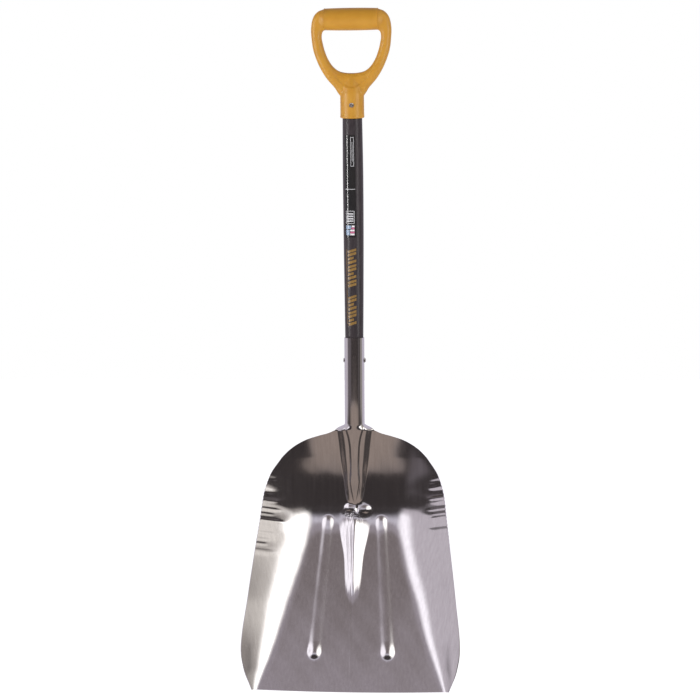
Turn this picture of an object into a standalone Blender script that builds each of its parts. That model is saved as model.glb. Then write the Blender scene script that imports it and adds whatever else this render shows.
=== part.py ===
"""Grain scoop shovel: a stamped aluminium scoop on a bent wooden shaft with a moulded D-grip.

Units are metres. +Z runs up from the scoop's front edge to the grip, the scoop opens towards -Y, and the
shovel is symmetric about X = 0. The origin is the middle of the bounding box's bottom.
"""
from math import atan, cos, pi, radians, sin, sqrt

import bmesh
import bpy
from mathutils import Matrix, Vector

GAP = 0.0003                  # clearance kept between touching pieces

# Placement. Depths below are measured back from the middle of the front edge.
ORIGIN_DEPTH = 0.0627         # depth of the row's origin

# Scoop sheet
SHEET = 0.0017                # aluminium thickness
FLOOR_SLOPE = 0.4515          # depth gained per height along the floor
WALL_CURVE = 1.15             # slope gained per metre up the back wall, which leans forward at its top
HEEL_Z = 0.301                # height of the bend between floor and back wall
HEEL_FILLET = 0.026
FRONT_BOW = 0.0025            # the front edge's middle is this much lower than its creases
FRONT_BOW_FADE = 0.05
SHOULDER_START_Z = 0.330      # above this the rows curve down towards the shoulders
SHOULDER_DROP = 0.0496        # height lost from the tab to the shoulder corner
TAB_Z = 0.4446                # height of the row that the socket grows out of
TAB_HALF = 0.0345             # half-width of the sheet that rolls up into the socket
TAB_STEPS = 10                # faces across that half-width
EDGE_Z = 0.00035              # the sheet's middle starts this high, so that its lower face starts at zero

# Profiles over height: (height, value)
RIM = ((0.0, 0.1690), (0.038, 0.1822), (0.075, 0.1877), (0.158, 0.1800), (0.227, 0.1720), (0.296, 0.1636),
       (0.330, 0.1595), (0.365, 0.1490), (0.395, 0.1295))
CREASE = ((0.0, 0.164), (0.075, 0.136), (0.174, 0.109), (0.239, 0.095), (0.301, 0.082), (0.399, 0.070),
          (0.450, 0.066))
SIDE_FILLET = ((0.0, 0.009), (0.050, 0.014), (0.158, 0.021), (0.227, 0.030), (0.301, 0.048), (0.450, 0.062))
SIDE_SLOPE = ((0.0, 0.76), (0.075, 0.83), (0.158, 0.69), (0.227, 0.66), (0.296, 0.58), (0.365, 0.43),
              (0.425, 0.26), (0.449, 0.18))
# Height lost along the top row: (share of the shoulder's width, share of SHOULDER_DROP)
TOP_EDGE = ((0.26, 0.0), (0.36, 0.118), (0.51, 0.228), (0.665, 0.36), (0.795, 0.535), (0.89, 0.712), (0.96, 0.886),
            (1.0, 1.0))

# Ribs and ridges stand out of the sheet towards the load
RIB_HEIGHT = 0.0045
RIB_HALF = 0.0125
RIB_LOW = (0.0635, 0.064)     # (x, height) of the rib's lower end centre
RIB_HIGH = (0.0475, 0.281)
RIDGE = ((0.310, 0.0), (0.322, 0.0055), (0.345, 0.0090), (0.390, 0.0135), (0.430, 0.0170), (0.449, 0.0185))
RIDGE_HALF = ((0.310, 0.016), (0.345, 0.0185), (0.365, 0.021), (0.393, 0.026), (0.445, 0.031))
RIDGE_CROWN = 0.15            # share of the ridge's half-width that its crown takes
VEE_TIP_Z = 0.158
VEE_TOP_Z = 0.296
VEE_HALF = 0.0225
VEE_HEIGHT = 0.0070
VEE_CROWN = 0.0025

# Socket and shaft line
SOCKET_RADIUS = 0.01775       # outside
SOCKET_TOP_Z = 0.609
AXIS_Z = 0.459                # the axis passes AXIS_DEPTH at this height
AXIS_DEPTH = 0.122
AXIS_LEAN = 0.09              # depth lost per height in the socket
BEND_START_Z = 0.640
BEND_END_Z = 0.990
GRIP_LEAN = 0.215             # the same above the bend
FLARE_Z = (0.4440, 0.4560)      # the flaps fold back from the blade over this height
SEAM_Z = (0.468, 0.512)       # and close behind the shaft over this one
FLAP_OPEN = radians(118)
FLAP_SHUT = radians(178)
GRIP_Z = 0.9914               # underside of the ferrule
SHAFT = ((0.474, 0.0120), (0.500, 0.0148), (0.530, 0.01552), (0.6085, 0.01552), (0.6100, 0.01615),
         (0.700, 0.0170), (0.800, 0.0178), (0.889, 0.0180), (0.950, 0.0176), (0.9904, 0.01715),
         (0.9908, 0.01580), (1.0286, 0.01580), (1.0336, 0.01480))

# D-grip, in its own frame: origin on the axis at the ferrule's underside, Z along the axis
FERRULE_BORE = 0.0161
FERRULE_DEPTH = 0.046
FERRULE = ((0.0, 0.0213), (0.004, 0.0209), (0.0424, 0.0207), (0.0564, 0.0180), (0.0694, 0.0130), (0.0764, 0.0070))
FRAME_THICKNESS = 0.0250      # front to back, arms and web
FRAME_ROUND = 0.0080
GRIP_OUTER = ((0.0, 0.1852), (0.030, 0.1852), (0.050, 0.1834), (0.0605, 0.1768), (0.0660, 0.1672), (0.0690, 0.1524),
              (0.0688, 0.1374), (0.0664, 0.1184), (0.0608, 0.1004), (0.0531, 0.0834), (0.0430, 0.0674),
              (0.0300, 0.0524), (0.0195, 0.0384), (0.0, 0.0364))
GRIP_HOLE = ((0.0, 0.1514), (0.030, 0.1514), (0.0475, 0.1494), (0.0514, 0.1404), (0.0500, 0.1294), (0.0465, 0.1154),
             (0.0405, 0.1004), (0.0310, 0.0869), (0.0190, 0.0794), (0.0, 0.0771))
BAR_Z = 0.1690
BAR = ((0.0, 0.0192), (0.024, 0.0189), (0.044, 0.0182), (0.0475, 0.0176), (0.0515, 0.0150), (0.056, 0.0110))

# Rivets and label
RIVET_RADIUS = 0.0024
RIVET_HEAD_RADIUS = 0.0042
RIVET_HEAD = 0.0016
TAIL_RADIUS = 0.0034
TAIL = 0.0014
BURR_RADIUS = 0.0046
BURR_THICKNESS = 0.0009
SOCKET_RIVET_Z = 0.5688
GRIP_RIVET_Z = 0.0232         # above the ferrule's underside
LABEL_Z = (0.787, 0.963)
LABEL_ANGLES = (radians(-48), radians(21))
LABEL_THICKNESS = 0.0003


def curve(points, position):
    """Smooth value at a position, through (position, value) points, level beyond the ends."""
    if position <= points[0][0]:
        return points[0][1]
    if position >= points[-1][0]:
        return points[-1][1]
    k = max(i for i in range(len(points) - 1) if points[i][0] <= position)
    (x0, y0), (x1, y1) = points[k], points[k + 1]
    step = (y1 - y0) / (x1 - x0)
    before = (y0 - points[k - 1][1]) / (x0 - points[k - 1][0]) if k > 0 else step
    after = (points[k + 2][1] - y1) / (points[k + 2][0] - x1) if k + 2 < len(points) else step
    slope0 = 0.0 if before * step <= 0 else 2 * before * step / (before + step)
    slope1 = 0.0 if after * step <= 0 else 2 * after * step / (after + step)
    t = (position - x0) / (x1 - x0)
    span = x1 - x0
    return ((1 + 2 * t) * (1 - t) ** 2 * y0 + t * (1 - t) ** 2 * slope0 * span
            + t * t * (3 - 2 * t) * y1 - t * t * (1 - t) * slope1 * span)


def linear(points, position):
    """Value at a position on straight runs between (position, value) points."""
    k = max([i for i in range(len(points) - 1) if points[i][0] <= position] or [0])
    (x0, y0), (x1, y1) = points[k], points[k + 1]
    t = min(max((position - x0) / (x1 - x0), 0.0), 1.0)
    return y0 + (y1 - y0) * t


def smoothstep(low, high, value):
    t = min(max((value - low) / (high - low), 0.0), 1.0)
    return t * t * (3 - 2 * t)


def ramp(distance, fillet):
    """Zero before a bend and the distance past it, with a parabola of half-length fillet between."""
    if distance <= -fillet:
        return 0.0
    if distance >= fillet:
        return distance
    return (distance + fillet) ** 2 / (4 * fillet)


# ---------------------------------------------------------------- the shaft's line

def axis_point(z):
    bend = (GRIP_LEAN - AXIS_LEAN) / (BEND_END_Z - BEND_START_Z)
    inside = min(max(z - BEND_START_Z, 0.0), BEND_END_Z - BEND_START_Z)
    depth = AXIS_DEPTH - AXIS_LEAN * (z - AXIS_Z) - bend * inside * inside / 2
    depth -= (GRIP_LEAN - AXIS_LEAN) * max(z - BEND_END_Z, 0.0)
    return Vector((0.0, depth - ORIGIN_DEPTH, z))


def axis_back(z):
    """Unit vector square to the axis, pointing away from the load side."""
    along = (axis_point(z + 0.001) - axis_point(z - 0.001)).normalized()
    return Vector((0.0, along.z, -along.y))


def on_shaft(z, angle, radius):
    """Point round the axis: angle 0 is the load side, pi/2 is +X."""
    return axis_point(z) + Vector((radius * sin(angle), 0, 0)) - axis_back(z) * (radius * cos(angle))


# ---------------------------------------------------------------- mesh helpers

def material(name, colour, roughness, metallic):
    mat = bpy.data.materials.new(name)
    mat.use_nodes = True
    shader = mat.node_tree.nodes["Principled BSDF"]
    shader.inputs["Base Color"].default_value = (*colour, 1.0)
    shader.inputs["Roughness"].default_value = roughness
    shader.inputs["Metallic"].default_value = metallic
    return mat


def add_object(name, bm, mat=None):
    mesh = bpy.data.meshes.new(name)
    bmesh.ops.recalc_face_normals(bm, faces=bm.faces)
    bm.to_mesh(mesh)
    bm.free()
    obj = bpy.data.objects.new(name, mesh)
    bpy.context.scene.collection.objects.link(obj)
    if mat:
        mesh.materials.append(mat)
        mesh.shade_smooth()
        mesh.set_sharp_from_angle(angle=radians(35))
    return obj


def boolean(obj, operation, other):
    """Add an exact Boolean and hide its operand."""
    other.hide_render = True
    other.display_type = "WIRE"
    modifier = obj.modifiers.new(f"{operation.lower()}_{other.name}", "BOOLEAN")
    modifier.operation = operation
    modifier.object = other


def ring_solid(rings):
    """Closed solid through rings of points, with flat end caps."""
    bm = bmesh.new()
    loops = [[bm.verts.new(point) for point in ring] for ring in rings]
    count = len(loops[0])
    for low, high in zip(loops, loops[1:]):
        for i in range(count):
            j = (i + 1) % count
            bm.faces.new((low[i], low[j], high[j], high[i]))
    bm.faces.new(reversed(loops[0]))
    bm.faces.new(loops[-1])
    return bm


def turned(profile, frame, sides):
    """Solid turned about the frame's Z axis from (position, radius) points."""
    rings = []
    for position, radius in profile:
        rings.append([frame @ Vector((radius * cos(2 * pi * k / sides), radius * sin(2 * pi * k / sides), position))
                      for k in range(sides)])
    return ring_solid(rings)


def cylinder_cutter(name, frame, radius, low, high, sides=16):
    return add_object(name, turned(((low, radius), (high, radius)), frame, sides))


# ---------------------------------------------------------------- scoop blade

def rib_height(x, z):
    """Round-ended rib on each side of the floor."""
    along = Vector((RIB_HIGH[0] - RIB_LOW[0], RIB_HIGH[1] - RIB_LOW[1]))
    offset = Vector((abs(x) - RIB_LOW[0], z - RIB_LOW[1]))
    share = min(max(offset.dot(along) / along.length_squared, 0.0), 1.0)
    q = (offset - along * share).length / RIB_HALF
    return RIB_HEIGHT * (1 - q * q) ** 2 if q < 1 else 0.0


def ridge_height(x, z):
    """Ridge down the back wall, the front of the socket running out into the sheet."""
    q = abs(x) / curve(RIDGE_HALF, z)
    return curve(RIDGE, z) * (1 - smoothstep(RIDGE_CROWN, 1.0, q)) if z > RIDGE[0][0] else 0.0


def vee_height(x, z):
    """Narrow ridge on the floor that runs out to a point below the heel."""
    share = min(max((z - VEE_TIP_Z) / (VEE_TOP_Z - VEE_TIP_Z), 0.0), 1.0)
    half = VEE_HALF * sqrt(share)
    if half <= 0 or abs(x) >= half:
        return 0.0
    crown = sqrt(x * x + VEE_CROWN ** 2) - VEE_CROWN
    fade = 1 - smoothstep(VEE_TOP_Z, HEEL_Z + 0.014, z)
    return VEE_HEIGHT * fade * smoothstep(0.0, 0.7, share) * max(1 - crown / (half - VEE_CROWN / 2), 0.0)


def sheet_point(x, z):
    """Point of the sheet's middle surface."""
    depth = FLOOR_SLOPE * (z - ramp(z - HEEL_Z, HEEL_FILLET)) - WALL_CURVE * max(z - HEEL_Z, 0.0) ** 2 / 2
    depth -= curve(SIDE_SLOPE, z) * ramp(abs(x) - curve(CREASE, z), curve(SIDE_FILLET, z))
    depth -= rib_height(x, z) + ridge_height(x, z) + vee_height(x, z)
    return Vector((x, depth - ORIGIN_DEPTH, z))


def blade_columns(z, t, rim):
    """Distances from the middle to each column of a row, which follow the tab, rib, crease and rim."""
    rib = linear((RIB_LOW[::-1], RIB_HIGH[::-1]), z) * (1 - t) + 0.060 * t
    tab = linear(((0.0, 0.024), (0.300, 0.024), (0.345, 0.024), (TAB_Z, TAB_HALF)), z)
    crease = linear(CREASE, z) * (1 - t) + 0.090 * t
    edges = (0.0, tab, rib - RIB_HALF * 0.99, rib + RIB_HALF * 0.99, crease, rim)
    steps = (TAB_STEPS, 2, 4, 3, 5)
    columns = [0.0]
    for low, high, count in zip(edges, edges[1:], steps):
        columns += [low + (high - low) * (k + 1) / count for k in range(count)]
    return columns


def blade_row(z):
    """One side of a row of the blade, from the middle to the rim."""
    t = max(z - SHOULDER_START_Z, 0.0) / (TAB_Z - SHOULDER_START_Z)
    rim = curve(RIM, z - t * SHOULDER_DROP)
    points = []
    for x in blade_columns(z, t, rim):
        height = z - t * SHOULDER_DROP * curve(TOP_EDGE, x / rim)
        bow = FRONT_BOW * (x / CREASE[0][1]) ** 2 * (1 - smoothstep(0.0, FRONT_BOW_FADE, z))
        points.append(sheet_point(x, height + bow))
    return points


def socket_row(z):
    """One side of a row of the tab: it folds back off the blade and wraps the shaft."""
    flare = 1 - smoothstep(*FLARE_Z, z)
    wrap = FLAP_OPEN + (FLAP_SHUT - FLAP_OPEN) * smoothstep(*SEAM_Z, z)
    points = []
    for k in range(TAB_STEPS + 1):
        share = k / TAB_STEPS
        tube = on_shaft(z, wrap * share, SOCKET_RADIUS - SHEET / 2)
        flat = sheet_point(TAB_HALF * share, min(z, TAB_Z))
        flat.z = z
        points.append(tube.lerp(flat, flare))
    return points


def build_blade():
    heights = [EDGE_Z, 0.014, 0.030, 0.045, 0.053, 0.060, 0.070, 0.090, 0.120, 0.150, 0.162, 0.178, 0.205, 0.235,
               0.262, 0.278, 0.288, 0.295, 0.302, 0.309, 0.317, 0.326, 0.340, 0.360, 0.384, 0.408, 0.428, 0.437, TAB_Z]
    tab = [0.4525, 0.4555, 0.4585, 0.462, 0.468, 0.478, 0.490, 0.502, 0.513, 0.545, 0.577, SOCKET_TOP_Z]
    bm = bmesh.new()
    rows = []
    for half in [blade_row(z) for z in heights] + [socket_row(z) for z in tab]:
        middle = len(half) - 1
        row = {}
        for k, point in enumerate(half):
            row[k] = bm.verts.new(point)
            if k:
                row[-k] = bm.verts.new((-point.x, point.y, point.z))
        rows.append((middle, row))
    for (low_middle, low), (high_middle, high) in zip(rows, rows[1:]):
        reach = min(low_middle, high_middle)
        for k in range(-reach, reach):
            bm.faces.new((low[k], low[k + 1], high[k + 1], high[k]))
    blade = add_object("scoop_blade", bm, material("aluminium", (0.60, 0.58, 0.58), 0.30, 1.0))
    solid = blade.modifiers.new("sheet", "SOLIDIFY")
    solid.thickness = SHEET
    solid.offset = 0.0
    boolean(blade, "DIFFERENCE", socket_rivet_hole("blade_rivet_hole"))
    return blade


# ---------------------------------------------------------------- shaft and rivets

def socket_rivet_frame():
    """Z runs along the rivet, towards +X, from its middle."""
    return Matrix.Translation(axis_point(SOCKET_RIVET_Z)) @ Matrix.Rotation(pi / 2, 4, "Y")


def grip_frame():
    return Matrix.Translation(axis_point(GRIP_Z)) @ Matrix.Rotation(atan(GRIP_LEAN), 4, "X")


def grip_rivet_frame():
    """Z runs along the rivet, towards the back, from its middle."""
    return grip_frame() @ Matrix.Translation((0, 0, GRIP_RIVET_Z)) @ Matrix.Rotation(-pi / 2, 4, "X")


def socket_rivet_hole(name):
    return cylinder_cutter(name, socket_rivet_frame(), RIVET_RADIUS + GAP, -0.03, 0.03)


def grip_rivet_hole(name):
    return cylinder_cutter(name, grip_rivet_frame(), RIVET_RADIUS + GAP, -0.03, 0.03)


def build_shaft():
    sides = 32
    stations = [0.474, 0.487, 0.500, 0.515, 0.530, 0.570, 0.6085, 0.6100, 0.655, 0.700, 0.745, 0.790, 0.835,
                0.880, 0.915, 0.950, 0.970, 0.9904, 0.9908, 1.0286, 1.0336]
    rings = []
    for z in stations:
        radius = linear(SHAFT, z)
        rings.append([on_shaft(z, 2 * pi * k / sides, radius) for k in range(sides)])
    shaft = add_object("shaft", ring_solid(rings), material("charcoal_paint", (0.062, 0.054, 0.058), 0.45, 0.0))
    boolean(shaft, "DIFFERENCE", socket_rivet_hole("shaft_rivet_hole"))
    boolean(shaft, "DIFFERENCE", grip_rivet_hole("shaft_grip_rivet_hole"))
    return shaft


def build_rivet(name, frame, seat, colour):
    """Domed head on the frame's -Z side, clenched tail beyond the burr on its +Z side."""
    head = -seat - GAP
    tail = seat + 2 * GAP + BURR_THICKNESS + GAP
    profile = ((head - RIVET_HEAD, 0.0014), (head - RIVET_HEAD * 0.85, 0.0027), (head - RIVET_HEAD * 0.5, 0.0037),
               (head - RIVET_HEAD * 0.15, RIVET_HEAD_RADIUS), (head, RIVET_HEAD_RADIUS), (head, RIVET_RADIUS),
               (tail, RIVET_RADIUS), (tail, TAIL_RADIUS), (tail + TAIL * 0.5, TAIL_RADIUS * 0.93),
               (tail + TAIL, TAIL_RADIUS * 0.5))
    return add_object(name, turned(profile, frame, 20), material(f"{name}_metal", colour, 0.3, 1.0))


def build_burr(name, frame, seat, colour):
    low = seat + GAP + GAP
    burr = add_object(name, turned(((low, BURR_RADIUS), (low + BURR_THICKNESS, BURR_RADIUS)), frame, 20),
                      material(f"{name}_metal", colour, 0.35, 1.0))
    hole = cylinder_cutter(f"{name}_hole", frame, RIVET_RADIUS + GAP, low - 0.002, low + 0.004)
    boolean(burr, "DIFFERENCE", hole)
    return burr


def build_label():
    """Thin strip wrapped on the shaft, a little to one side of its front."""
    columns, rows = 8, 10
    bm = bmesh.new()
    grid = []
    for j in range(rows + 1):
        z = LABEL_Z[0] + (LABEL_Z[1] - LABEL_Z[0]) * j / rows
        radius = linear(SHAFT, z) + GAP + LABEL_THICKNESS
        angles = [LABEL_ANGLES[0] + (LABEL_ANGLES[1] - LABEL_ANGLES[0]) * i / columns for i in range(columns + 1)]
        grid.append([bm.verts.new(on_shaft(z, angle, radius)) for angle in angles])
    for low, high in zip(grid, grid[1:]):
        for i in range(columns):
            bm.faces.new((low[i], low[i + 1], high[i + 1], high[i]))
    label = add_object("label", bm, material("black_label", (0.012, 0.012, 0.013), 0.12, 0.0))
    solid = label.modifiers.new("film", "SOLIDIFY")
    solid.thickness = LABEL_THICKNESS
    solid.offset = 0.0
    return label


# ---------------------------------------------------------------- D-grip

def smooth_outline(points, per_span):
    """Catmull-Rom points on one side of a mirror-symmetric outline, then the mirrored side."""
    side = []
    full = [(-points[1][0], points[1][1])] + list(points) + [(-points[-2][0], points[-2][1])]
    for a, b, c, d in zip(full, full[1:], full[2:], full[3:]):
        for k in range(per_span):
            t = k / per_span
            side.append(tuple(0.5 * (2 * b[n] + (c[n] - a[n]) * t + (2 * a[n] - 5 * b[n] + 4 * c[n] - d[n]) * t * t
                                     + (3 * b[n] - a[n] - 3 * c[n] + d[n]) * t ** 3) for n in (0, 1)))
    side.append(points[-1])
    return side + [(-x, z) for x, z in reversed(side[1:-1])]


def outline_spline(data, points):
    spline = data.splines.new("POLY")
    spline.points.add(len(points) - 1)
    for target, (x, z) in zip(spline.points, points):
        target.co = (x, z, 0.0, 1.0)
    spline.use_cyclic_u = True


def grip_plate():
    """Arms and web: the D outline with its hand hole, extruded with rounded edges."""
    data = bpy.data.curves.new("grip_plate_outline", "CURVE")
    data.dimensions = "2D"
    data.fill_mode = "BOTH"
    data.extrude = FRAME_THICKNESS / 2 - FRAME_ROUND
    data.bevel_depth = FRAME_ROUND
    data.bevel_resolution = 2
    data.offset = -FRAME_ROUND
    outline_spline(data, smooth_outline(GRIP_OUTER, 2))
    outline_spline(data, smooth_outline(GRIP_HOLE, 2))
    guide = bpy.data.objects.new("grip_plate_outline", data)
    bpy.context.scene.collection.objects.link(guide)
    bpy.context.view_layer.update()
    bm = bmesh.new()
    bm.from_mesh(guide.evaluated_get(bpy.context.evaluated_depsgraph_get()).to_mesh())
    bpy.data.objects.remove(guide)
    bmesh.ops.remove_doubles(bm, verts=bm.verts, dist=1e-5)
    bmesh.ops.transform(bm, verts=bm.verts, matrix=grip_frame() @ Matrix.Rotation(pi / 2, 4, "X"))
    return add_object("grip_plate", bm)


def build_grip():
    frame = grip_frame()
    bar_frame = frame @ Matrix.Translation((0, 0, BAR_Z)) @ Matrix.Rotation(pi / 2, 4, "Y")
    bar_profile = [(-x, r) for x, r in reversed(BAR[1:])] + list(BAR)
    plastic = material("yellow_plastic", (0.62, 0.32, 0.035), 0.42, 0.0)
    grip = add_object("d_grip", turned(FERRULE, frame, 32), plastic)
    boolean(grip, "UNION", grip_plate())
    boolean(grip, "UNION", add_object("grip_bar", turned(bar_profile, bar_frame, 24)))
    boolean(grip, "DIFFERENCE", cylinder_cutter("grip_bore", frame, FERRULE_BORE, -0.01, FERRULE_DEPTH, 32))
    boolean(grip, "DIFFERENCE", grip_rivet_hole("grip_rivet_hole"))
    return grip


def clear_scene():
    for obj in list(bpy.data.objects):
        bpy.data.objects.remove(obj)


clear_scene()
build_blade()
build_shaft()
build_grip()
build_label()
STEEL = (0.50, 0.49, 0.48)
ferrule_radius = linear(FERRULE, GRIP_RIVET_Z)
build_rivet("grip_rivet", grip_rivet_frame(), ferrule_radius, STEEL)
build_burr("grip_rivet_burr", grip_rivet_frame(), ferrule_radius, STEEL)
build_rivet("socket_rivet", socket_rivet_frame(), SOCKET_RADIUS, STEEL)
build_burr("socket_rivet_burr", socket_rivet_frame(), SOCKET_RADIUS, STEEL)
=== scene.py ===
"""Looks of the grain scoop shovel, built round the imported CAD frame. Metres, +Z up, load side towards -Y."""
from math import atan, cos, pi, radians, sin

import bmesh
import bpy
import numpy as np
from mathutils import Matrix, Vector


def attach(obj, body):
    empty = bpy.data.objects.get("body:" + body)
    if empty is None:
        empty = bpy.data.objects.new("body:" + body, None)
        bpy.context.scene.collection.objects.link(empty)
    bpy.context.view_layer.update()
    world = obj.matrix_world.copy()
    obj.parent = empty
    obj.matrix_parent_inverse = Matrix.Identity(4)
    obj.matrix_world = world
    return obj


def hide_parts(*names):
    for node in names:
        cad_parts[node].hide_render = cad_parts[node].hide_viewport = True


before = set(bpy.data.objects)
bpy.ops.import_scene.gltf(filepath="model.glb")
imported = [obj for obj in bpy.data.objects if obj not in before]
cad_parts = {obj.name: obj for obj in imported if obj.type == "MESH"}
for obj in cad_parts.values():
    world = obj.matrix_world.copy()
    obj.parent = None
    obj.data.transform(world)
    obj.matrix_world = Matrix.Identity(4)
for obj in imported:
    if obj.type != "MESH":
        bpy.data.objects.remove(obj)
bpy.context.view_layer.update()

# ================================================================ design values

# The blade's outline, the socket, the rivets' places and the shaft's axis are the CAD's. Creases, ribs and
# ridges are shaped more finely here.
ORIGIN_DEPTH = 0.0627
SHEET = 0.0017
FRONT_BOW = 0.0025
FRONT_BOW_FADE = 0.05
EDGE_Z = 0.00035
SHOULDER_START_Z = 0.330
SHOULDER_DROP = 0.0496
TAB_Z = 0.4446
TAB_HALF = 0.0345
# Profiles over height: (height, value)
RIM = ((0.0, 0.1690), (0.038, 0.1822), (0.075, 0.1877), (0.158, 0.1800), (0.227, 0.1720), (0.296, 0.1636),
       (0.330, 0.1595), (0.365, 0.1490), (0.395, 0.1295))
CREASE = ((0.0, 0.164), (0.075, 0.136), (0.174, 0.109), (0.239, 0.095), (0.301, 0.082), (0.399, 0.070),
          (0.450, 0.066))
CREASE_INNER = ((0.0, 0.005), (0.050, 0.010), (0.158, 0.016), (0.227, 0.021), (0.301, 0.025), (0.450, 0.027))
WALL_POWER = ((0.0, 1.25), (0.080, 1.25), (0.235, 1.60))
WALL_SHARE = ((0.0, 0.80), (0.080, 0.82), (0.235, 1.0))
SIDE_SLOPE = ((0.0, 0.76), (0.075, 0.83), (0.158, 0.69), (0.227, 0.66), (0.296, 0.58), (0.365, 0.43),
              (0.425, 0.26), (0.449, 0.18))
# Depth gained per height along the middle: the sloping floor, the heel's bend and the back wall
BACK_SLOPE = ((-0.01, 0.4515), (0.250, 0.4515), (0.262, 0.415), (0.305, 0.115), (0.325, 0.045),
              (0.347, -0.005), (0.371, -0.088), (0.398, -0.122), (0.4446, -0.176))
# Share of the shoulder drop over the share of the half-width, from the middle to the rim
TOP_EDGE = ((0.26, 0.0), (0.36, 0.118), (0.51, 0.228), (0.665, 0.36), (0.795, 0.535), (0.89, 0.712),
            (0.96, 0.886), (1.0, 1.0))
RIB_HALF = 0.0135
RIB_WIDEN = 1.06              # share of that half-width at a rib's low end
RIB_TAPER = 0.16              # share of it that is lost by the high end
RIB_LOW = (0.0635, 0.064)     # (x, height) of the low end
RIB_HIGH = (0.0475, 0.281)
# How far a rib stands out over the share of its length, low end first
RIB_RISE = ((0.0, 0.0030), (0.035, 0.0021), (0.08, 0.0013), (0.30, 0.0010), (0.65, 0.0009),
            (0.90, 0.0011), (0.98, 0.0021))
# The back wall's ridge over height: how far it stands out, its half-width and its crown's half-width
RIDGE = ((0.310, 0.0), (0.322, 0.0052), (0.345, 0.0084), (0.365, 0.0100), (0.400, 0.0108), (0.430, 0.0113),
         (0.449, 0.0114))
RIDGE_HALF = ((0.310, 0.016), (0.345, 0.0195), (0.365, 0.022), (0.393, 0.027), (0.4446, 0.0325))
RIDGE_CROWN = ((0.318, 0.0005), (0.335, 0.0036), (0.352, 0.0062), (0.372, 0.0048), (0.386, 0.0042),
               (0.412, 0.0050), (0.430, 0.0075), (0.4446, 0.0120))
RIDGE_STEP_WIDTH = 0.22       # share of a flank's width that the step beside the crown takes
RIDGE_LEDGE_WIDTH = 0.36      # share of it where the ledge below that step ends
RIDGE_STEP = 0.26             # share of the ridge's height lost in the step
RIDGE_FLANK = 0.74            # and in the flank beyond the ledge
# The V ridge on the floor, over height
VEE_HALF = ((0.145, 0.004), (0.152, 0.008), (0.165, 0.0125), (0.1835, 0.0142), (0.2185, 0.0165),
            (0.2535, 0.0235), (0.290, 0.031))
VEE_RISE = ((0.145, 0.0), (0.155, 0.0006), (0.168, 0.0022), (0.1835, 0.0036), (0.2185, 0.0050),
            (0.2535, 0.0070), (0.290, 0.0080))
VEE_CROWN = 0.0010
VEE_SHARPNESS = 1.25          # above 1 the flanks are hollow
VEE_TOP_Z = (0.262, 0.300)    # the V ridge fades into the heel over this height
LEFT_FLUTES = 0.00010         # fine drawing marks along the V ridge's two flanks
RIGHT_FLUTES = 0.00004
FLUTE_PITCH = 0.0078
# Two waves that make up those marks: (size, half waves in a pitch, drift per height)
FLUTE_WAVES = ((1.0, 2.0, 40.0), (0.7, 4.6, -55.0))
BACK_TWIST = 0.045            # how much less the back wall leans forward at its sides than in the middle
TWIST_X = (0.02, 0.11)
TWIST_START_Z = 0.335
TWIST_EASE = 0.02
HEEL_LIFT = 0.0022            # how much deeper the sheet lies at its sides above the heel
LIFT_X = (0.045, 0.100)
LIFT_Z = (0.268, 0.312)
NICK_DEPTH = 0.00035          # the rim's edge is slightly nicked beside the folds
NICK_PITCH = 0.0065
NICK_START_Z = (0.24, 0.26)
NICK_END_Z = (0.36, 0.38)
NICK_SHARE = (0.97, 1.0)      # share of the half-width over which the nicks fade in
SOCKET_RADIUS = 0.01775
SOCKET_TOP_Z = 0.609
SOCKET_RIVET_Z = 0.5688
AXIS_Z = 0.459
AXIS_DEPTH = 0.122
AXIS_LEAN = 0.09
BEND_START_Z = 0.640
BEND_END_Z = 0.990
GRIP_LEAN = 0.215
FLARE_Z = (0.4440, 0.4560)    # the tab draws in from the blade's width over this height
SEAM_Z = (0.468, 0.512)       # and its flaps close behind the shaft over this one
FLAP_OPEN = radians(118)
FLAP_SHUT = radians(178)
SAG_Z = 0.503                 # below this height the socket curves back a little to meet the back wall
SAG = 0.9
RIVET_HOLE = 0.0027
GRIP_Z = 0.9914
GAP = 0.0003
CUTTER_REACH = 0.030          # half the length of the pins that cut the holes
CUTTER_SIDES = 32
# Columns of half a row of the blade: how many steps to the tab, the rib's two edges, the crease and the rim
TAB_STEPS = 30
BLADE_STEPS = (TAB_STEPS, 3, 14, 14, 30)
TAB_COLUMNS = ((0.0, 0.345, TAB_Z), (0.030, 0.028, TAB_HALF))
TOP_RIB_X = 0.060             # where those rib and crease columns end, at the tab
TOP_CREASE_X = 0.090
# Rows of the blade and of its tab: (lowest, highest, step)
BLADE_ROWS = ((EDGE_Z, 0.045, 0.004), (0.045, 0.085, 0.0022), (0.085, 0.150, 0.005), (0.150, 0.235, 0.003),
              (0.235, 0.272, 0.0017), (0.272, 0.318, 0.0011), (0.318, 0.370, 0.0018), (0.370, TAB_Z, 0.0026))
TAB_ROWS = ((TAB_Z + 0.0012, 0.462, 0.0012), (0.462, 0.516, 0.003), (0.516, SOCKET_TOP_Z, 0.006))


# ================================================================ helpers

def curve(points, position):
    """Values at an array of positions, smooth and monotone between (position, value) points."""
    knots, values = np.array(points, float).T
    step = np.diff(values) / np.diff(knots)
    slope = np.concatenate(([step[0]], np.zeros(len(step) - 1), [step[-1]]))
    same = step[:-1] * step[1:] > 0
    total = np.where(same, step[:-1] + step[1:], 1.0)
    slope[1:-1] = np.where(same, 2 * step[:-1] * step[1:] / total, 0.0)
    at = np.clip(np.asarray(position, float), knots[0], knots[-1])
    k = np.clip(np.searchsorted(knots, at, side="right") - 1, 0, len(step) - 1)
    span = knots[k + 1] - knots[k]
    t = (at - knots[k]) / span
    return ((1 + 2 * t) * (1 - t) ** 2 * values[k] + t * (1 - t) ** 2 * slope[k] * span
            + t * t * (3 - 2 * t) * values[k + 1] - t * t * (1 - t) * slope[k + 1] * span)


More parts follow.
